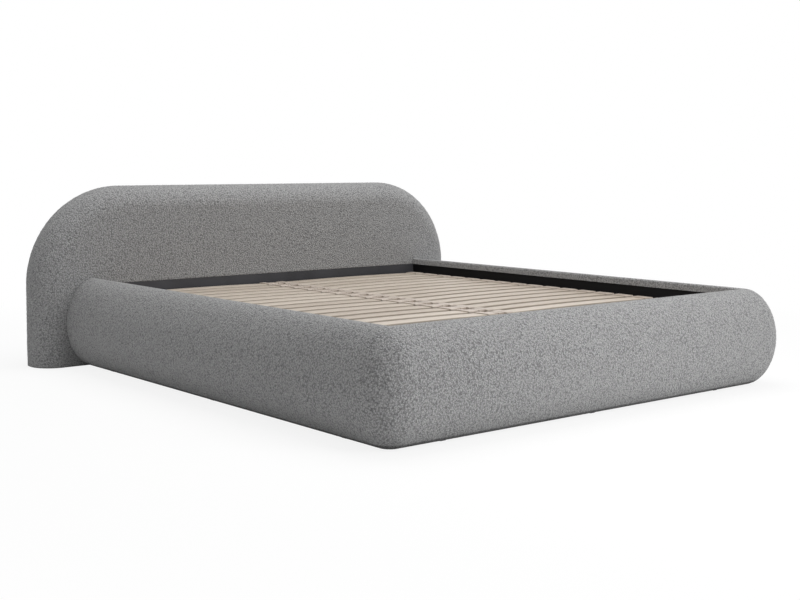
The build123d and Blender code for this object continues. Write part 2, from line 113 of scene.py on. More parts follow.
# Slats and their moulded holders, with CENTRE_BARE half the length of a double holder's web
SLAT_COUNT = 19
SLAT_THICKNESS = 0.008
SLAT_WIDTH = 0.068
SLAT_EDGE = 0.0022
HOLDER_HALF = 0.0415
HOLDER_FOOT_HALF = 0.0417
HOLDER_FOOT_CORNER = 0.005
HOLDER_FLOOR = 0.003
HOLDER_WALL = 0.003
HOLDER_ROOF = 0.0035
HOLDER_SKIN = 0.0020
HOLDER_EDGE = 0.0055
CENTRE_BARE = 0.030
WEB_HALF = 0.026
WEB_DROP = 0.0015
WEB_SLOT = 0.003
WEB_CORNER = 0.002


# Meshes
def closed_faces(rows, columns):
    """Quads of a grid of points numbered row by row, its columns joined end to end, with a face
    over its first row and one over its last."""
    row = np.arange(rows - 1)[:, None] * columns
    column = np.arange(columns)[None, :]
    after = (column + 1) % columns
    quads = np.stack([row + column, row + after, row + after + columns, row + column + columns], -1)
    first = list(range(columns))
    last = [(rows - 1) * columns + step for step in range(columns)]
    return quads.reshape(-1, 4).tolist() + [first, last[::-1]]


def mesh_object(name, points, faces):
    """A mesh object whose faces all point outwards."""
    mesh = bpy.data.meshes.new(name)
    mesh.from_pydata(np.asarray(points, float).reshape(-1, 3).tolist(), [], faces)
    work = bmesh.new()
    work.from_mesh(mesh)
    bmesh.ops.recalc_face_normals(work, faces=work.faces)
    work.to_mesh(mesh)
    work.free()
    item = bpy.data.objects.new(name, mesh)
    bpy.context.scene.collection.objects.link(item)
    return item


def piece(name, points, faces, finish, nodes, crease=40):
    """A finished piece of the object that stands for some CAD nodes and rides on their body."""
    item = mesh_object(name, points, faces)
    item.data.shade_smooth()
    item.data.set_sharp_from_angle(angle=math.radians(crease))
    item.data.materials.append(finish)
    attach(item, frame["nodes"][nodes[0]]["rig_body"])
    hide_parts(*nodes)
    return item


def copies(points, faces, offsets):
    """The same small shape at several places, as one set of points and faces."""
    moved = points[None, :, :] + np.asarray(offsets, float)[:, None, :]
    every = [[index + len(points) * turn for index in face]
             for turn in range(len(offsets)) for face in faces]
    return moved.reshape(-1, 3), every


def steps(counts):
    """Places along a chain of stretches: stretch k runs from k to k + 1 in counts[k] steps."""
    runs = [np.linspace(k, k + 1, n, endpoint=False) for k, n in enumerate(counts)]
    return np.concatenate(runs + [[len(counts)]])


def along(places, corners):
    """Straight stretches between corners, each corner at a whole number of places."""
    corners = np.asarray(corners, float)
    marks = np.arange(len(corners))
    return np.stack([np.interp(places, marks, line) for line in corners.T], -1)


# Cloth
def read_mesh(mesh, item):
    """The mesh's vertex places or normals, one row for each."""
    values = np.empty(len(mesh.vertices) * 3, np.float32)
    mesh.vertices.foreach_get(item, values)
    return values.reshape(-1, 3).astype(float)


def swelling(points, faces, held):
    """How far air inside a closed cover pushes each point outwards: Blender's cloth with gravity
    off and its held points fixed, measured along the cover's own normals."""
    trial = mesh_object("trial_cover", points, faces)
    outwards = read_mesh(trial.data, "normal")
    group = trial.vertex_groups.new(name="held")
    group.add(np.flatnonzero(held).tolist(), 1.0, "REPLACE")
    cloth = trial.modifiers.new("cover", "CLOTH").settings
    cloth.vertex_group_mass = "held"
    cloth.use_pressure = True
    cloth.uniform_pressure_force = AIR_PRESSURE
    cloth.effector_weights.gravity = 0
    cloth.tension_stiffness = cloth.compression_stiffness = STRETCH_STIFFNESS
    cloth.bending_stiffness = BEND_STIFFNESS
    scene = bpy.context.scene
    for number in range(1, SIMULATION_FRAMES + 1):
        scene.frame_set(number)
    swollen = trial.evaluated_get(bpy.context.evaluated_depsgraph_get()).data
    moved = read_mesh(swollen, "co") - points.reshape(-1, 3)
    scene.frame_set(1)
    bpy.data.objects.remove(trial)
    return (moved * outwards).sum(1)


def refined(field, rows, columns, fine_rows, fine_columns):
    """A field on a coarse grid read at the places of a finer one, by straight lines."""
    by_row = np.apply_along_axis(lambda line: np.interp(fine_rows, rows, line), 0, field)
    return np.apply_along_axis(lambda line: np.interp(fine_columns, columns, line), 1, by_row)


def softened(field, passes):
    """A field with each point moved to the mean of itself and its neighbours, a few times."""
    for _ in range(passes):
        ringed = np.pad(field, 1, mode="edge")
        field = (ringed[:-2, 1:-1] + ringed[2:, 1:-1] + ringed[1:-1, :-2] + ringed[1:-1, 2:]
                 + 2 * field) / 6
    return field


def curls(points, wavelength, seed):
    """Height of the boucle's curls, from -1 to 1: a sum of seeded plane waves that all have
    nearly one wavelength and point every way."""
    maker = np.random.default_rng(seed)
    ways = maker.normal(size=(CURL_WAVES, 3))
    ways /= np.linalg.norm(ways, axis=1, keepdims=True)
    lengths = wavelength * maker.uniform(*CURL_SPREAD, CURL_WAVES)
    phases = maker.uniform(0, 2 * math.pi, CURL_WAVES)
    waves = np.cos(points @ (ways * (2 * math.pi / lengths)[:, None]).T + phases)
    return np.clip(waves.sum(1) / math.sqrt(CURL_WAVES), -1, 1)


def square_ends(points, outwards):
    """Keeps a piece's two end rows in the planes where it butts against its neighbours: they swell
    only along those planes, and stand a hair back from them."""
    for end, beside in ((0, 1), (-1, -2)):
        inwards = points[beside] - points[end]
        inwards /= np.linalg.norm(inwards, axis=1, keepdims=True)
        outwards[end] -= (outwards[end] * inwards).sum(1, keepdims=True) * inwards
        outwards[end] /= np.linalg.norm(outwards[end], axis=1, keepdims=True)
        points[end] += inwards * END_GAP


def padded_piece(name, surface, coarse, fine, give, finish, nodes, seed, butted=False):
    """A stuffed cover: surface gives a point for each pair of places on a closed grid, and give the
    furthest that the cover may swell there, which is zero where it is fixed. The cloth is solved
    on the coarse grid and its swelling is read on the fine one, and curls stand on it. A butted
    piece ends square against its neighbours."""
    rows, columns = coarse
    fine_rows, fine_columns = fine
    points = surface(fine_rows[:, None], fine_columns[None, :])
    room = give(fine_rows[:, None], fine_columns[None, :]) + np.zeros(points.shape[:2])
    share = np.full(points.shape[:2], FULL_SHARE)
    small = surface(rows[:, None], columns[None, :])
    small_room = give(rows[:, None], columns[None, :]) + np.zeros(small.shape[:2])
    faces = closed_faces(len(rows), len(columns))
    swollen = swelling(small, faces, small_room.ravel() < FIXED_ROOM).reshape(small.shape[:2])
    full = np.tanh(np.maximum(swollen, 0) / np.maximum(small_room, LEAST_ROOM))
    share = refined(softened(full, SOFTENINGS), rows, columns, fine_rows, fine_columns)
    faces = closed_faces(len(fine_rows), len(fine_columns))
    item = piece(name, points, faces, finish, nodes, crease=60)
    outwards = read_mesh(item.data, "normal").reshape(points.shape)
    if butted:
        square_ends(points, outwards)
    outwards = outwards.reshape(-1, 3)
    flat = points.reshape(-1, 3)
    ends = np.minimum(np.arange(len(fine_rows)), np.arange(len(fine_rows))[::-1])[:, None]
    settle = np.clip(ends / SETTLE_ROWS, 0, 1)
    share = share * settle + share.mean(0)[None, :] * (1 - settle)
    lift = (room * share).ravel()
    lift += curls(flat, CURL, seed) * CURL_HEIGHT * np.minimum(1, room.ravel() / CURL_ROOM)
    item.data.vertices.foreach_set("co", (flat + outwards * lift[:, None]).ravel())
    item.data.update()


# Padded rails
side_low, side_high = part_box("rail_cover_right")
board_low, board_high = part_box("rail_board_right")
INNER_X = board_low.x
INNER_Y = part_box("rail_board_foot")[1].y
RAIL_TOP = side_high.z
RAIL_BOTTOM = side_low.z
CROWN = RAIL_TOP / 2
OVAL_CENTRE = INNER_EDGE - COVER
OVAL_DEPTH = side_high.x - INNER_X - OVAL_CENTRE
BOARD_DEPTH = board_high.x - board_low.x
AXIS_X = INNER_X - CORNER_INSET
AXIS_Y = INNER_Y + CORNER_INSET


def rail_profile(place):
    """A padded rail's closed section as (u outwards, z). From 0 to 1 it climbs the inside of the
    flap, from 1 to 2 turns the inner top edge as a quarter circle, from 2 to 3 follows half an
    oval, a little flatter in its middle, down to the floor side, and then goes round the board
    back to the flap's hem."""
    foot_turn = math.asin((RAIL_BOTTOM - CROWN) / CROWN)
    foot_u = OVAL_CENTRE + OVAL_DEPTH * math.cos(foot_turn)
    under, behind, over = board_low.z - SEAT, BOARD_DEPTH + SEAT, board_high.z + SEAT
    corners = [(-COVER, FLAP_HEM), (-COVER, RAIL_TOP - INNER_EDGE), (OVAL_CENTRE, RAIL_TOP),
               (foot_u, RAIL_BOTTOM), (0, RAIL_BOTTOM), (0, under), (behind, under), (behind, over),
               (-SEAT, over), (-SEAT, FLAP_HEM), (-COVER, FLAP_HEM)]
    result = along(place, corners)
    turn = math.pi - (np.clip(place, 1, 2) - 1) * math.pi / 2
    edge = np.stack([OVAL_CENTRE + INNER_EDGE * np.cos(turn),
                     RAIL_TOP - INNER_EDGE + INNER_EDGE * np.sin(turn)], -1)
    turn = math.pi / 2 + (np.clip(place, 2, 3) - 2) * (foot_turn - math.pi / 2)
    room = SWELL_ROOM * np.sin(math.pi * (np.clip(place, 2, 3) - 2))
    oval = np.stack([OVAL_CENTRE + (OVAL_DEPTH - room) * np.cos(turn),
                     CROWN + (CROWN - room) * np.sin(turn)], -1)
    result = np.where(((place >= 1) & (place <= 2))[..., None], edge, result)
    return np.where(((place > 2) & (place <= 3))[..., None], oval, result)


PROFILE_COARSE = steps([1, 3, 26, 2, 1, 1, 12, 1, 1, 1])[:-1]
PROFILE_FINE = steps([4, 6, 104, 4, 1, 1, 16, 2, 2, 1])[:-1]


def rail_give(row, column):
    """The cover is fixed along its flap, its edges and behind, and swells most in the middle of
    the oval, by a power of the sine of the place along it. It is the same all along the rail."""
    first, last = RAIL_FREE
    place = np.clip((column - first) / (last - first), 0, 1)
    return RAIL_SWELL * np.sin(math.pi * place) ** SWELL_POWER + 0 * row


def rail_section(row, column):
    """The section's u and z at every pair of places on a grid."""
    section = rail_profile(np.broadcast_to(column, np.broadcast_shapes(row.shape, column.shape)))
    return section[..., 0], section[..., 1]


def side_surface(row, column):
    """The right rail: its section slides from the headboard to the corner's axis, which is place
    0 to 1, and then turns an eighth of a circle about that axis, which is 1 to 2."""
    u, z = rail_section(row, column)
    head = board_high.y - HEAD_GAP
    slide = np.clip(row, 0, 1)
    turn = (np.clip(row, 1, 2) - 1) * math.pi / 4
    radius = INNER_X + u - AXIS_X
    x = AXIS_X + radius * np.cos(turn)
    y = head + (AXIS_Y - head) * slide - radius * np.sin(turn)
    return np.stack([x, y, z], -1)


def left_surface(row, column):
    """The left rail, the right one's mirror image."""
    return side_surface(row, column) * np.array([-1.0, 1.0, 1.0])


def foot_surface(row, column):
    """The foot rail: an eighth of a turn about the left corner's axis, which is place 0 to 1, a
    slide across the bed, 1 to 2, and an eighth of a turn about the right one, 2 to 3."""
    u, z = rail_section(row, column)
    before = (1 - np.clip(row, 0, 1)) * math.pi / 4
    slide = np.clip(row, 1, 2) - 1
    after = (np.clip(row, 2, 3) - 2) * math.pi / 4
    turn = after - before
    radius = AXIS_Y - INNER_Y + u
    x = -AXIS_X + 2 * AXIS_X * slide + radius * np.sin(turn)
    y = AXIS_Y - radius * np.cos(turn)
    return np.stack([x, y, z], -1)


def padded_rails(finish):
    """The three padded rails, each for its CAD cover and foam."""
    coarse = (steps([80, 4]), PROFILE_COARSE)
    fine = (steps([480, 24]), PROFILE_FINE)
    for side, surface, seed in (("right", side_surface, 3), ("left", left_surface, 4)):
        nodes = [f"rail_cover_{side}", f"rail_foam_{side}"]
        padded_piece(f"padded_rail_{side}", surface, coarse, fine, rail_give, finish, nodes, seed,
                     butted=True)
    coarse = (steps([4, 72, 4]), PROFILE_COARSE)
    fine = (steps([24, 430, 24]), PROFILE_FINE)
    nodes = ["rail_cover_foot", "rail_foam_foot"]
    padded_piece("padded_rail_foot", foot_surface, coarse, fine, rail_give, finish, nodes, 5,
                 butted=True)


# Padded headboard
head_low, head_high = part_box("headboard_cover")
panel_low, panel_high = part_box("head_end_panel")
HALF_WIDTH = head_high.x - HEAD_ROOM
HEAD_TOP = head_high.z - HEAD_ROOM / 2
HEAD_BOTTOM = head_low.z
FRONT = panel_low.y
BACK = head_high.y
MIDDLE = (FRONT + BACK) / 2
SHOULDER_X = HALF_WIDTH - ARCH_RADIUS
SHOULDER_Z = HEAD_TOP - ARCH_RADIUS
RECESS_BACK = panel_high.y + SEAT
RECESS_X = panel_high.x + SEAT


def arch_top(x):
    """Height of the arched outline: flat between the shoulders and a quarter circle beyond."""
    beyond = np.clip(np.abs(x) - SHOULDER_X, 0, ARCH_RADIUS)
    return SHOULDER_Z + np.sqrt(ARCH_RADIUS ** 2 - beyond ** 2)


def arch_depth(x, z):
    """How far inside the arched outline a place is."""
    beyond = np.abs(x) - SHOULDER_X
    above = z - SHOULDER_Z
    round_part = ARCH_RADIUS - np.hypot(beyond, above)
    straight = np.minimum(HALF_WIDTH - np.abs(x), HEAD_TOP - z)
    return np.maximum(np.where((beyond > 0) & (above > 0), round_part, straight), 0)


def half_thickness(x, z):
    """Half the headboard's thickness: full inside, and a quarter circle near the outline."""
    full = (BACK - FRONT) / 2
    near = np.clip(RIM_RADIUS - arch_depth(x, z), 0, RIM_RADIUS)
    return full - RIM_RADIUS + np.sqrt(RIM_RADIUS ** 2 - near ** 2)


def head_x(row):
    """Places across the headboard. From 0 to 1 the left rim turns a quarter circle, 1 to 2 is
    beside the black panel, 2 to 3 the recess's edge, 3 to 4 the panel, and so on to the right."""
    rim = HALF_WIDTH - RIM_RADIUS
    corners = [(-HALF_WIDTH,), (-rim,), (-RECESS_X,), (SEAT - RECESS_X,),
               (RECESS_X - SEAT,), (RECESS_X,), (rim,), (HALF_WIDTH,)]
    x = along(row, corners)[..., 0]
    left = rim + RIM_RADIUS * np.cos(np.clip(row, 0, 1) * math.pi / 2)
    right = rim + RIM_RADIUS * np.sin((np.clip(row, 6, 7) - 6) * math.pi / 2)
    x = np.where(row < 1, -left, x)
    return np.where(row > 6, right, x)


def headboard_surface(row, column):
    """The headboard's closed section, carried across it. From 0 to 1 it climbs the front beside or
    behind the black panel, 1 to 2 turns the lip above the panel, 2 to 3 climbs to the arch by the
    sine of the place, 3 to 4 crosses the flat rim, 4 to 5 goes down the back by the sine of the
    place, 5 to 6 on to the floor side and 6 to 7 forward underneath."""
    shape = np.broadcast_shapes(row.shape, column.shape)
    row, place = np.broadcast_to(row, shape), np.broadcast_to(column, shape)
    x = head_x(row)
    top = arch_top(x)
    inside = (row >= 3) & (row <= 4)
    beyond = np.clip((np.abs(x) - RECESS_X) / (HALF_WIDTH - RECESS_X), 0, 1)
    hem = FLAP_HEM - HEM_DROP * beyond
    z = HEAD_BOTTOM + (hem - HEAD_BOTTOM) * np.clip(place, 0, 1)
    turn = (np.clip(place, 1, 2) - 1) * math.pi / 2
    z = np.where(place > 1, hem + LIP_RADIUS * (1 - np.cos(turn)), z)
    above_lip = hem + LIP_RADIUS
    rise = np.sin((np.clip(place, 2, 3) - 2) * math.pi / 2)
    z = np.where(place > 2, above_lip + (top - above_lip) * rise, z)
    fall = np.sin((5 - np.clip(place, 4, 5)) * math.pi / 2)
    z = np.where(place > 4, above_lip + (top - above_lip) * fall, z)
    sink = 6 - np.clip(place, 5, 6)
    z = np.where(place > 5, HEAD_BOTTOM + (above_lip - HEAD_BOTTOM) * sink, z)
    half = half_thickness(x, z)
    front = MIDDLE - half
    back_of_lip = np.where(inside, RECESS_BACK, front)
    y = np.where(place <= 1, back_of_lip, front)
    rounded = FRONT + LIP_RADIUS * (1 - np.sin(turn))
    y = np.where(inside & (place > 1) & (place < 2), rounded, y)
    across = np.clip(place, 3, 4) - 3
    y = np.where(place > 3, front + 2 * half * across, y)
    under = np.clip(place, 6, 7) - 6
    y = np.where(place > 6, MIDDLE + half + (back_of_lip - MIDDLE - half) * under, y)
    return np.stack([x, y, z], -1)


def headboard_give(row, column):
    """The cover is fixed behind and beside the black panel, round its lip and along the floor, and
    swells more and more above them."""
    first, last = HEAD_INNER
    inner = np.clip((row - first) / FADE, 0, 1) * np.clip((last - row) / FADE, 0, 1)
    above = np.clip((column - LIP_FREE) / FADE, 0, 1)
    front = np.where(column < FRONT_END, above, 1.0)
    floor = np.clip(column / FADE, 0, 1) * np.clip((6 - column) / FADE, 0, 1)
    return HEAD_SWELL * floor * (1 - inner * (1 - front))


def padded_headboard(finish):
    """The arched headboard, for its CAD cover and foam."""
    coarse = (steps([6, 5, 1, 56, 1, 5, 6]), steps([12, 2, 18, 1, 18, 10, 4])[:-1])
    fine = (steps([26, 22, 1, 320, 1, 22, 26]), steps([24, 4, 76, 3, 76, 24, 8])[:-1])
    nodes = ["headboard_cover", "headboard_foam"]
    padded_piece("padded_headboard", headboard_surface, coarse, fine, headboard_give, finish,
                 nodes, 6)


# Slats
slat_low, slat_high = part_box("slats_right")
SLAT_PLACES = np.linspace(slat_high.y - SLAT_WIDTH / 2, slat_low.y + SLAT_WIDTH / 2, SLAT_COUNT)
SLAT_OFFSETS = [(0, y, 0) for y in SLAT_PLACES]
SLAT_BOW = slat_high.z - slat_low.z - SLAT_THICKNESS


def slat_surface():
    """One slat at Y = 0: a flat section with round edges, carried along a low bow whose rise falls
    with the square of the distance from its middle."""
    x = np.linspace(slat_low.x, slat_high.x, 25)
    middle = (x[0] + x[-1]) / 2
    rise = SLAT_BOW * (1 - ((x - middle) / (x[-1] - middle)) ** 2)
    turn = np.linspace(0, math.pi / 2, 5)
    edge_y = SLAT_WIDTH / 2 - SLAT_EDGE + SLAT_EDGE * np.cos(turn)
    edge_z = SLAT_THICKNESS / 2 - SLAT_EDGE + SLAT_EDGE * np.sin(turn)
    y = np.concatenate([edge_y, -edge_y[::-1], -edge_y, edge_y[::-1]])
    z = np.concatenate([edge_z, edge_z[::-1], -edge_z, -edge_z[::-1]])
    height = slat_low.z + SLAT_THICKNESS / 2 + rise[:, None] + z[None, :]
    points = np.stack(np.broadcast_arrays(x[:, None], y[None, :], height), -1)
    return points.reshape(-1, 3), closed_faces(len(x), len(y))


def bowed_slats(finish):
    """Both columns of slats, each slat with its own tone in the attribute board_tone."""
    points, faces = slat_surface()
    for side, sign, seed in (("right", 1, 8), ("left", -1, 9)):
        every, joined = copies(points * np.array([sign, 1, 1]), faces, SLAT_OFFSETS)
        item = piece(f"bowed_slats_{side}", every, joined, finish,
                     [f"slats_{side}"], crease=50)
        tones = np.random.default_rng(seed).uniform(0, 1, SLAT_COUNT)
        tone = item.data.attributes.new("board_tone", "FLOAT", "POINT")
        tone.data.foreach_set("value", np.repeat(tones, len(points)).astype(np.float32))


# Slat holders
cap_low, cap_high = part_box("slat_caps_right")


def rounded_loop(wide, high, radius):
    """A rectangle with round corners as a loop of flat points, five to a corner."""
    turn = np.linspace(0, math.pi / 2, 5)
    left, right = wide[0] + radius, wide[1] - radius
    under, over = high[0] + radius, high[1] - radius
    centres = [(right, over, 0), (left, over, 1), (left, under, 2), (right, under, 3)]
    return np.concatenate([np.stack([across + radius * np.cos(turn + quarter * math.pi / 2),
                                     up + radius * np.sin(turn + quarter * math.pi / 2)], -1)
                           for across, up, quarter in centres])


def lofted(loops):
    """The points and faces of a closed shape carried through a list of like-numbered loops."""
    return np.concatenate(loops), closed_faces(len(loops), len(loops[0]))


def standing_loop(x, y_range, z_range, radius):
    """A round-cornered rectangle of (y, z) set upright at x."""
    loop = rounded_loop(y_range, z_range, radius)
    return np.column_stack([np.full(len(loop), x), loop])


def holder_sleeve(end, mouth):
    """A moulded sleeve at Y = 0 from its closed end to its mouth: round-cornered loops go along
    the outside, turn in at the mouth and come back along the pocket. Each is (x, how far it is
    inside the sleeve's sides, how much lower its top is, corner radius)."""
    way = 1 if mouth > end else -1
    lid = HOLDER_ROOF - HOLDER_SKIN
    stations = [(end, HOLDER_EDGE, 0, 0.0006),
                (end + way * 0.0009, 0.0009, 0, 0.0022),
                (end + way * HOLDER_EDGE, 0, 0, HOLDER_EDGE),
                (mouth - way * 0.001, 0, 0, HOLDER_EDGE),
                (mouth, 0.0008, 0, HOLDER_EDGE - 0.0008),
                (mouth - way * 0.0006, HOLDER_SKIN, lid, 0.001),
                (mouth - way * 0.004, HOLDER_SKIN, lid, 0.0008),
                (end + way * HOLDER_WALL, HOLDER_SKIN, lid, 0.0008)]
    return lofted([standing_loop(x, (inset - HOLDER_HALF, HOLDER_HALF - inset),
                                 (cap_low.z + inset, cap_high.z - inset - drop), radius)
                   for x, inset, drop, radius in stations])


def holder_foot(start, end):
    """The holder's foot: a thin plate with round corners and a softened upper edge. Each loop is
    (height above the plate's underside, how far it is inside the plate's sides)."""
    low_x, high_x = sorted((start, end))
    loops = []
    for height, inset in ((0, 0), (HOLDER_FLOOR * 0.7, 0), (HOLDER_FLOOR, 0.0009)):
        loop = rounded_loop((low_x + inset, high_x - inset),
                            (inset - HOLDER_FOOT_HALF, HOLDER_FOOT_HALF - inset),
                            HOLDER_FOOT_CORNER - inset)
        loops.append(np.column_stack([loop, np.full(len(loop), cap_low.z + height)]))
    return lofted(loops)


def holder_web():
    """The middle of a double holder at Y = 0: a bar between its sleeves with round long edges and
    a moulded slot across its top at X = 0. Each loop is (x, how much lower and narrower it is)."""
    deep = (HOLDER_EDGE + WEB_DROP) / 2
    stations = [(-CENTRE_BARE, 0), (-WEB_SLOT, 0), (-WEB_SLOT / 3, deep),
                (WEB_SLOT / 3, deep), (WEB_SLOT, 0), (CENTRE_BARE, 0)]
    return lofted([standing_loop(x, (drop - WEB_HALF, WEB_HALF - drop),
                                 (cap_low.z, cap_high.z - WEB_DROP - drop), WEB_CORNER)
                   for x, drop in stations])


def holders(name, shapes, finish, node):
    """One piece with a copy of a holder's shapes at the ends of every slat."""
    points, faces, count = [], [], 0
    for shape_points, shape_faces in shapes:
        moved, joined = copies(shape_points, shape_faces, SLAT_OFFSETS)
        points.append(moved)
        faces += [[index + count for index in face] for face in joined]
        count += len(moved)
    piece(name, np.concatenate(points), faces, finish, [node], crease=35)


def slat_holders(finish):
    """The outer holders of both columns and the double ones in the middle."""
    for side, sign in (("right", 1), ("left", -1)):
        shapes = [holder_sleeve(sign * cap_high.x, sign * cap_low.x),
                  holder_foot(sign * cap_low.x, sign * cap_high.x)]
        holders(f"slat_holders_{side}", shapes, finish, f"slat_caps_{side}")
    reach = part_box("slat_caps_centre")[1].x
    shapes = [holder_sleeve(CENTRE_BARE, reach), holder_sleeve(-CENTRE_BARE, -reach),
              holder_web(), holder_foot(-reach, reach)]
    holders("slat_holders_centre", shapes, finish, "slat_caps_centre")


# Materials
def linear(code):
    """The linear colour of an sRGB hex value."""
    parts = [int(code[place:place + 2], 16) / 255 for place in (1, 3, 5)]
    return [part / 12.92 if part <= 0.04045 else ((part + 0.055) / 1.055) ** 2.4
            for part in parts] + [1.0]


def per_metre(millimetres):
    """A pattern's scale from the real size of its detail."""
    return 1000 / millimetres


def add(tree, kind, settings=(), links=()):
    """Adds a node, sets its properties and sockets by name or number, and links its sockets."""
    node = tree.nodes.new("ShaderNode" + kind)
    for key, value in dict(settings).items():
        if key == "stops":
            for element, (place, code) in zip(node.color_ramp.elements, value):
                element.position = place
                element.color = linear(code)
        elif isinstance(key, str) and hasattr(node, key):
            setattr(node, key, value)
        else:
            node.inputs[key].default_value = value
    for key, source in dict(links).items():
        tree.links.new(source, node.inputs[key])
    return node


def material(name, settings):
    """A material with a Principled shader whose plain values are settings. Returns the material,
    its tree, the shader and the Object coordinates."""
    made = bpy.data.materials.new(name)
    made.use_nodes = True
    tree = made.node_tree
    tree.nodes.clear()
    shader = add(tree, "BsdfPrincipled", settings)
    add(tree, "OutputMaterial", (), {"Surface": shader.outputs[0]})
    place = add(tree, "TexCoord").outputs["Object"]
    return made, tree, shader, place


# Heights between which the boucle's painted shade near the floor fades out, how much higher that
# is on a rail, and the share of its colour that the cloth keeps at the floor
PAINTED_SHADE_BAND = (0.001, 0.009)
RAIL_SHADE_RISE = 0.016
FLOOR_SHADE_SHARE = 0.12


def grey_boucle():
    """Woven boucle of grey wool blend: matt curled loops about 6 mm across, drawn a little coarser
    than life so that they show, with painted shade darkening their colour down to their roots, and
    a fuzz on them that catches the light at grazing angles. The cloth's colour is darkened near the
    floor as painted shade, a contact shadow where the cover turns under, and on the rails that
    starts higher because their undersides turn in."""
    made, tree, shader, place = material("grey_wool_boucle_cloth", {
        "Roughness": 0.95, "Specular IOR Level": 0.2,
        "Sheen Weight": 0.4, "Sheen Roughness": 0.6, "Sheen Tint": linear("#dcdcdc")})
    bend = add(tree, "TexNoise", {"Scale": per_metre(6), "Detail": 1.0}, {"Vector": place})
    pull = add(tree, "VectorMath", {"operation": "MULTIPLY_ADD", 1: (0.005, 0.005, 0.005)},
               {0: bend.outputs["Color"], 2: place})
    loop = add(tree, "TexVoronoi", {"Scale": per_metre(6)}, {"Vector": pull.outputs[0]})
    fuzz = add(tree, "TexNoise", {"Scale": per_metre(3), "Detail": 1.0}, {"Vector": place})
    height = add(tree, "Math", {"operation": "MULTIPLY_ADD", 1: -0.95},
                 {0: loop.outputs["Distance"], 2: fuzz.outputs[0]})
    # painted shade: the colour ramp follows the loops' height, darker down at their roots and
    # lighter on their crowns
    crown = add(tree, "MapRange", {"From Min": -0.37, "From Max": 0.51},
                {"Value": height.outputs[0]})
    colour = add(tree, "ValToRGB", {"stops": [(0.1, "#69696a"), (0.9, "#aeaeae")]},
                 {"Fac": crown.outputs[0]})
    level = add(tree, "SeparateXYZ", (), {0: place})
    # painted shade: the cloth's colour darkens towards the floor, a contact shadow painted under
    # the rails and the headboard, starting higher on the rails
    on_rail = add(tree, "Math", {"operation": "LESS_THAN", 1: FRONT}, {0: level.outputs["Y"]})
    above = add(tree, "Math", {"operation": "MULTIPLY_ADD", 1: -RAIL_SHADE_RISE},
                {0: on_rail.outputs[0], 2: level.outputs["Z"]})
    hem = add(tree, "MapRange", {"From Min": PAINTED_SHADE_BAND[0], "From Max": PAINTED_SHADE_BAND[1],
                                 "To Min": FLOOR_SHADE_SHARE}, {"Value": above.outputs[0]})
    shaded = add(tree, "VectorMath", {"operation": "SCALE"},
                 {0: colour.outputs[0], "Scale": hem.outputs[0]})
    tree.links.new(shaded.outputs[0], shader.inputs["Base Color"])
    relief = add(tree, "Bump", {"Strength": 1.0, "Distance": 0.0036}, {"Height": height.outputs[0]})
    tree.links.new(relief.outputs[0], shader.inputs["Normal"])
    return made


def beech_veneer():
    """Bonded beech veneer, sanded and clear lacquered: pale pinkish wood with long thin grain, and
    each slat a little lighter or darker."""
    made, tree, shader, place = material("lacquered_beech_veneer", {
        "Roughness": 0.5, "Coat Weight": 0.12, "Coat Roughness": 0.35})
    stretch = add(tree, "Mapping", {"Scale": (3.0, 60.0, 60.0)}, {"Vector": place})
    grain = add(tree, "TexNoise", {"Scale": 4.0, "Detail": 5.0, "Roughness": 0.6,
                                   "Distortion": 0.4}, {"Vector": stretch.outputs[0]})
    board = add(tree, "Attribute", {"attribute_name": "board_tone"})
    tone = add(tree, "Math", {"operation": "MULTIPLY_ADD", 1: 0.35},
               {0: board.outputs["Fac"], 2: grain.outputs[0]})
    colour = add(tree, "ValToRGB", {"stops": [(0.3, "#9c8f81"), (0.95, "#bbb0a3")]},
                 {"Fac": tone.outputs[0]})
    tree.links.new(colour.outputs[0], shader.inputs["Base Color"])
    relief = add(tree, "Bump", {"Strength": 0.15, "Distance": 0.0004}, {"Height": grain.outputs[0]})
    tree.links.new(relief.outputs[0], shader.inputs["Normal"])
    return made


def moulded_holder():
    """Moulded polypropylene in pale beige: softly glossy with a fine spark-eroded grain."""
    made, tree, shader, place = material("moulded_beige_polypropylene", {"IOR": 1.49})
    grain = add(tree, "TexNoise", {"Scale": per_metre(1.2), "Detail": 2.0}, {"Vector": place})
    cloud = add(tree, "TexNoise", {"Scale": per_metre(60), "Detail": 2.0}, {"Vector": place})
    colour = add(tree, "ValToRGB", {"stops": [(0.3, "#a69a8f"), (0.7, "#b7aba0")]},
                 {"Fac": cloud.outputs[0]})
    tree.links.new(colour.outputs[0], shader.inputs["Base Color"])
    gloss = add(tree, "MapRange", {"To Min": 0.38, "To Max": 0.52}, {"Value": grain.outputs[0]})
    tree.links.new(gloss.outputs[0], shader.inputs["Roughness"])
    relief = add(tree, "Bump", {"Strength": 0.1, "Distance": 0.0002}, {"Height": grain.outputs[0]})
    tree.links.new(relief.outputs[0], shader.inputs["Normal"])
    return made


def black_melamine(name, dark, light, gloss):
    """Particle board faced with black melamine: a satin film with a faint pearl grain. The head
    panel's film is a shade greyer and glossier than the rails' lining: its greyer tone is painted
    light on a face turned to the lamps, and the lining's deeper black is painted shade in the well."""
    made, tree, shader, place = material(name, {"IOR": 1.5, "Specular IOR Level": gloss})
    pearl = add(tree, "TexNoise", {"Scale": per_metre(2.5), "Detail": 3.0}, {"Vector": place})
    cloud = add(tree, "TexNoise", {"Scale": per_metre(180), "Detail": 2.0}, {"Vector": place})
    colour = add(tree, "ValToRGB", {"stops": [(0.3, dark), (0.75, light)]},
                 {"Fac": cloud.outputs[0]})
    tree.links.new(colour.outputs[0], shader.inputs["Base Color"])
    shine = add(tree, "MapRange", {"To Min": 0.42, "To Max": 0.55}, {"Value": cloud.outputs[0]})
    tree.links.new(shine.outputs[0], shader.inputs["Roughness"])
    relief = add(tree, "Bump", {"Strength": 0.12, "Distance": 0.0003}, {"Height": pearl.outputs[0]})
    tree.links.new(relief.outputs[0], shader.inputs["Normal"])
    return made


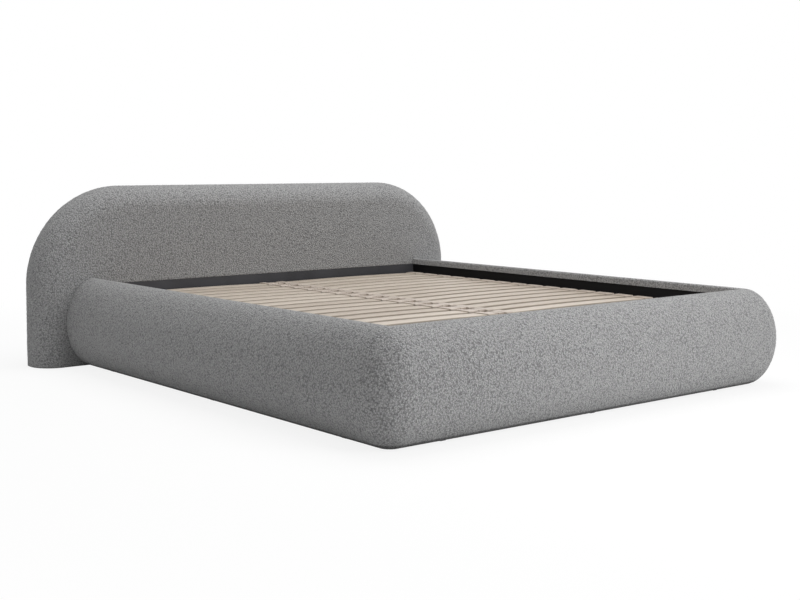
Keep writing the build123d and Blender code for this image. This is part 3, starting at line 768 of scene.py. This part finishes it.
def powder_coat():
    """Steel with black powder coat: half gloss over a fine orange peel."""
    made, tree, shader, place = material("black_powder_coated_steel", {"Roughness": 0.45})
    peel = add(tree, "TexNoise", {"Scale": per_metre(1.6), "Detail": 1.0}, {"Vector": place})
    colour = add(tree, "ValToRGB", {"stops": [(0.35, "#17171a"), (0.7, "#232327")]},
                 {"Fac": peel.outputs[0]})
    tree.links.new(colour.outputs[0], shader.inputs["Base Color"])
    relief = add(tree, "Bump", {"Strength": 0.25, "Distance": 0.0003}, {"Height": peel.outputs[0]})
    tree.links.new(relief.outputs[0], shader.inputs["Normal"])
    return made


def zinc_plate():
    """Bright zinc plated steel: grey metal with a cloudy, slightly uneven shine."""
    made, tree, shader, place = material("zinc_plated_steel", {"Metallic": 1.0})
    cloud = add(tree, "TexNoise", {"Scale": per_metre(9), "Detail": 4.0, "Roughness": 0.6},
                {"Vector": place})
    colour = add(tree, "ValToRGB", {"stops": [(0.3, "#a9abab"), (0.75, "#c8cac9")]},
                 {"Fac": cloud.outputs[0]})
    tree.links.new(colour.outputs[0], shader.inputs["Base Color"])
    gloss = add(tree, "MapRange", {"To Min": 0.28, "To Max": 0.48}, {"Value": cloud.outputs[0]})
    tree.links.new(gloss.outputs[0], shader.inputs["Roughness"])
    return made


def chromed_rod():
    """Hard chromed steel rod: ground round and polished, with faint uneven marks."""
    made, tree, shader, place = material("hard_chromed_rod", {"Metallic": 1.0})
    marks = add(tree, "TexNoise", {"Scale": per_metre(2), "Detail": 2.0}, {"Vector": place})
    colour = add(tree, "ValToRGB", {"stops": [(0.3, "#c9cccf"), (0.7, "#dcdee0")]},
                 {"Fac": marks.outputs[0]})
    tree.links.new(colour.outputs[0], shader.inputs["Base Color"])
    gloss = add(tree, "MapRange", {"To Min": 0.1, "To Max": 0.18}, {"Value": marks.outputs[0]})
    tree.links.new(gloss.outputs[0], shader.inputs["Roughness"])
    return made


def planed_pine():
    """Planed pine battens: yellow wood with darker summer growth along the length."""
    made, tree, shader, place = material("planed_pine_batten", {"Roughness": 0.6})
    stretch = add(tree, "Mapping", {"Scale": (6.0, 6.0, 45.0)}, {"Vector": place})
    grain = add(tree, "TexNoise", {"Scale": 3.0, "Detail": 5.0, "Distortion": 1.0},
                {"Vector": stretch.outputs[0]})
    colour = add(tree, "ValToRGB", {"stops": [(0.35, "#b08a55"), (0.7, "#d6b98a")]},
                 {"Fac": grain.outputs[0]})
    tree.links.new(colour.outputs[0], shader.inputs["Base Color"])
    relief = add(tree, "Bump", {"Strength": 0.2, "Distance": 0.0005}, {"Height": grain.outputs[0]})
    tree.links.new(relief.outputs[0], shader.inputs["Normal"])
    return made


def fibre_board():
    """Pressed hardboard, smooth side up: brown with short felted fibres."""
    made, tree, shader, place = material("pressed_hardboard", {"Roughness": 0.65})
    fibre = add(tree, "TexNoise", {"Scale": per_metre(3), "Detail": 6.0, "Roughness": 0.7},
                {"Vector": place})
    colour = add(tree, "ValToRGB", {"stops": [(0.3, "#5e4530"), (0.75, "#7d6044")]},
                 {"Fac": fibre.outputs[0]})
    tree.links.new(colour.outputs[0], shader.inputs["Base Color"])
    relief = add(tree, "Bump", {"Strength": 0.15, "Distance": 0.0004}, {"Height": fibre.outputs[0]})
    tree.links.new(relief.outputs[0], shader.inputs["Normal"])
    return made


def raw_particle_board():
    """Raw particle board: pale glued chips a few millimetres across."""
    made, tree, shader, place = material("raw_particle_board", {"Roughness": 0.8})
    chip = add(tree, "TexVoronoi", {"Scale": per_metre(5)}, {"Vector": place})
    tint = add(tree, "SeparateColor", (), {0: chip.outputs["Color"]})
    colour = add(tree, "ValToRGB", {"stops": [(0.1, "#9c7d52"), (0.9, "#cdb48a")]},
                 {"Fac": tint.outputs[0]})
    tree.links.new(colour.outputs[0], shader.inputs["Base Color"])
    relief = add(tree, "Bump", {"Strength": 0.2, "Distance": 0.0005},
                 {"Height": chip.outputs["Distance"]})
    tree.links.new(relief.outputs[0], shader.inputs["Normal"])
    return made


def pressed_felt():
    """Pressed wool felt pads: dark, matt and fuzzy."""
    made, tree, shader, place = material("pressed_dark_felt", {
        "Roughness": 0.95, "Sheen Weight": 0.4})
    fuzz = add(tree, "TexNoise", {"Scale": per_metre(1.5), "Detail": 5.0}, {"Vector": place})
    colour = add(tree, "ValToRGB", {"stops": [(0.3, "#232326"), (0.75, "#3c3c40")]},
                 {"Fac": fuzz.outputs[0]})
    tree.links.new(colour.outputs[0], shader.inputs["Base Color"])
    relief = add(tree, "Bump", {"Strength": 0.4, "Distance": 0.0006}, {"Height": fuzz.outputs[0]})
    tree.links.new(relief.outputs[0], shader.inputs["Normal"])
    return made


def finish_nodes():
    """Gives every carried-over CAD node the finish of its slot, and the head panel its own, a
    greyer copy of the black melamine that is painted light.
    """
    finishes = {"particle_board": raw_particle_board(), "pine": planed_pine(),
                "hardboard": fibre_board(), "zinc_steel": zinc_plate(),
                "glide_felt": pressed_felt(), "black_steel": powder_coat(),
                "chrome_rod": chromed_rod(),
                "black_board": black_melamine("black_melamine_lining_painted_shade", "#0c0c0d", "#121214", 0.12)}
    # painted light and shade: one black board gets two tones, greyer on the head panel that faces
    # the lamps and deeper black on the lining in the well
    panel = black_melamine("charcoal_head_panel_painted_light", "#333336", "#3e3e42", 0.3)
    for part in frame["record"]["subparts"]:
        chosen = panel if part["node"] == "head_end_panel" else finishes.get(part["material_slot"])
        if chosen:
            item = frame["nodes"][part["node"]]
            item.data.materials.clear()
            item.data.materials.append(chosen)


# Studio. The camera's angles are in degrees and its lens in millimetres. LAMPS gives each lamp's
# place, the point that it faces, its size and its power in watts.
CAMERA_PLACE = (-3.2831, -3.9666, 0.8755)
CAMERA_YAW = 38.318
CAMERA_PITCH = -3.2
CAMERA_LENS = 55.658
CAMERA_SHIFT = (0.0379, -0.0843)
LAMPS = {"overhead_softbox": ((0.3, 0.0, 3.6), (0.0, 0.0, 0.2), 3.0, 100),
         "foot_softbox": ((0.3, -3.4, 1.35), (0.1, -1.2, 0.2), 1.4, 39),
         "corner_softbox": ((4.5, -4.5, 2.6), (0.0, 0.0, 0.3), 1.5, 20)}
ROOM_LIGHT = 0.45
FLOOR_HALF = 30.0
SHADOW_REACH = (1.4, 3.4)
SHADOW_WHITE = 0.86


def studio_camera():
    """The photograph's viewing angle, worked out from the bed's own corners and edges."""
    data = bpy.data.cameras.new("studio_camera")
    data.lens = CAMERA_LENS
    data.shift_x, data.shift_y = CAMERA_SHIFT
    camera = bpy.data.objects.new("studio_camera", data)
    camera.location = CAMERA_PLACE
    camera.rotation_euler = (math.radians(90 + CAMERA_PITCH), 0, math.radians(-CAMERA_YAW))
    bpy.context.scene.collection.objects.link(camera)
    bpy.context.scene.camera = camera


def softbox(name, place, target, size, watts):
    """A square studio lamp that faces a point."""
    data = bpy.data.lights.new(name, "AREA")
    data.size = size
    data.energy = watts
    lamp = bpy.data.objects.new(name, data)
    lamp.location = place
    way = np.asarray(target, float) - np.asarray(place, float)
    yaw = math.atan2(way[1], way[0])
    tilt = math.atan2(math.hypot(way[0], way[1]), -way[2])
    lamp.rotation_euler = (tilt, 0, yaw - math.pi / 2)
    lamp.visible_camera = False
    bpy.context.scene.collection.objects.link(lamp)


def plain_sight(tree):
    """One for rays that show a thing as it is: the camera's, and those in gloss and glass."""
    ray = add(tree, "LightPath")
    mirrored = add(tree, "Math", {"operation": "MAXIMUM"},
                   {0: ray.outputs["Is Glossy Ray"], 1: ray.outputs["Is Transmission Ray"]})
    return add(tree, "Math", {"operation": "MAXIMUM"},
               {0: ray.outputs["Is Camera Ray"], 1: mirrored.outputs[0]}).outputs[0]


def studio_floor():
    """A white floor that keeps a soft trace of the bed's shadow and fades to plain white further
    off: its share of plain white grows with the distance from the bed's middle."""
    corners = np.array([(-1, -1, 0), (1, -1, 0), (1, 1, 0), (-1, 1, 0)]) * FLOOR_HALF
    floor = mesh_object("studio_floor", corners, [[0, 1, 2, 3]])
    made = bpy.data.materials.new("white_studio_floor")
    made.use_nodes = True
    tree = made.node_tree
    tree.nodes.clear()
    paint = add(tree, "BsdfDiffuse", {"Color": linear("#f4f4f4")})
    white = add(tree, "Emission", {"Strength": 1.0})
    place = add(tree, "TexCoord").outputs["Object"]
    away = add(tree, "VectorMath", {"operation": "LENGTH"}, {0: place})
    fade = add(tree, "MapRange", {"From Min": SHADOW_REACH[0], "From Max": SHADOW_REACH[1],
                                  "To Min": SHADOW_WHITE}, {"Value": away.outputs["Value"]})
    share = add(tree, "Math", {"operation": "MULTIPLY"}, {0: plain_sight(tree), 1: fade.outputs[0]})
    mixed = add(tree, "MixShader", (),
                {0: share.outputs[0], 1: paint.outputs[0], 2: white.outputs[0]})
    add(tree, "OutputMaterial", (), {"Surface": mixed.outputs[0]})
    floor.data.materials.append(made)


def studio_light():
    """A large lamp overhead, a low one in front of the foot rail and one off the right corner, in
    an even grey room that the camera, metal and gloss see as white."""
    for name, (place, target, size, watts) in LAMPS.items():
        softbox(name, place, target, size, watts)
    world = bpy.data.worlds.new("studio")
    bpy.context.scene.world = world
    world.use_nodes = True
    tree = world.node_tree
    tree.nodes.clear()
    room = add(tree, "Background", {"Color": linear("#ffffff"), "Strength": ROOM_LIGHT})
    white = add(tree, "Background", {"Color": linear("#ffffff"), "Strength": 1.0})
    mixed = add(tree, "MixShader", (),
                {0: plain_sight(tree), 1: room.outputs[0], 2: white.outputs[0]})
    add(tree, "OutputWorld", (), {"Surface": mixed.outputs[0]})
    bpy.context.scene.view_settings.view_transform = "Standard"


studio_camera()
studio_light()
studio_floor()
cloth = grey_boucle()
padded_rails(cloth)
padded_headboard(cloth)
bowed_slats(beech_veneer())
slat_holders(moulded_holder())
finish_nodes()
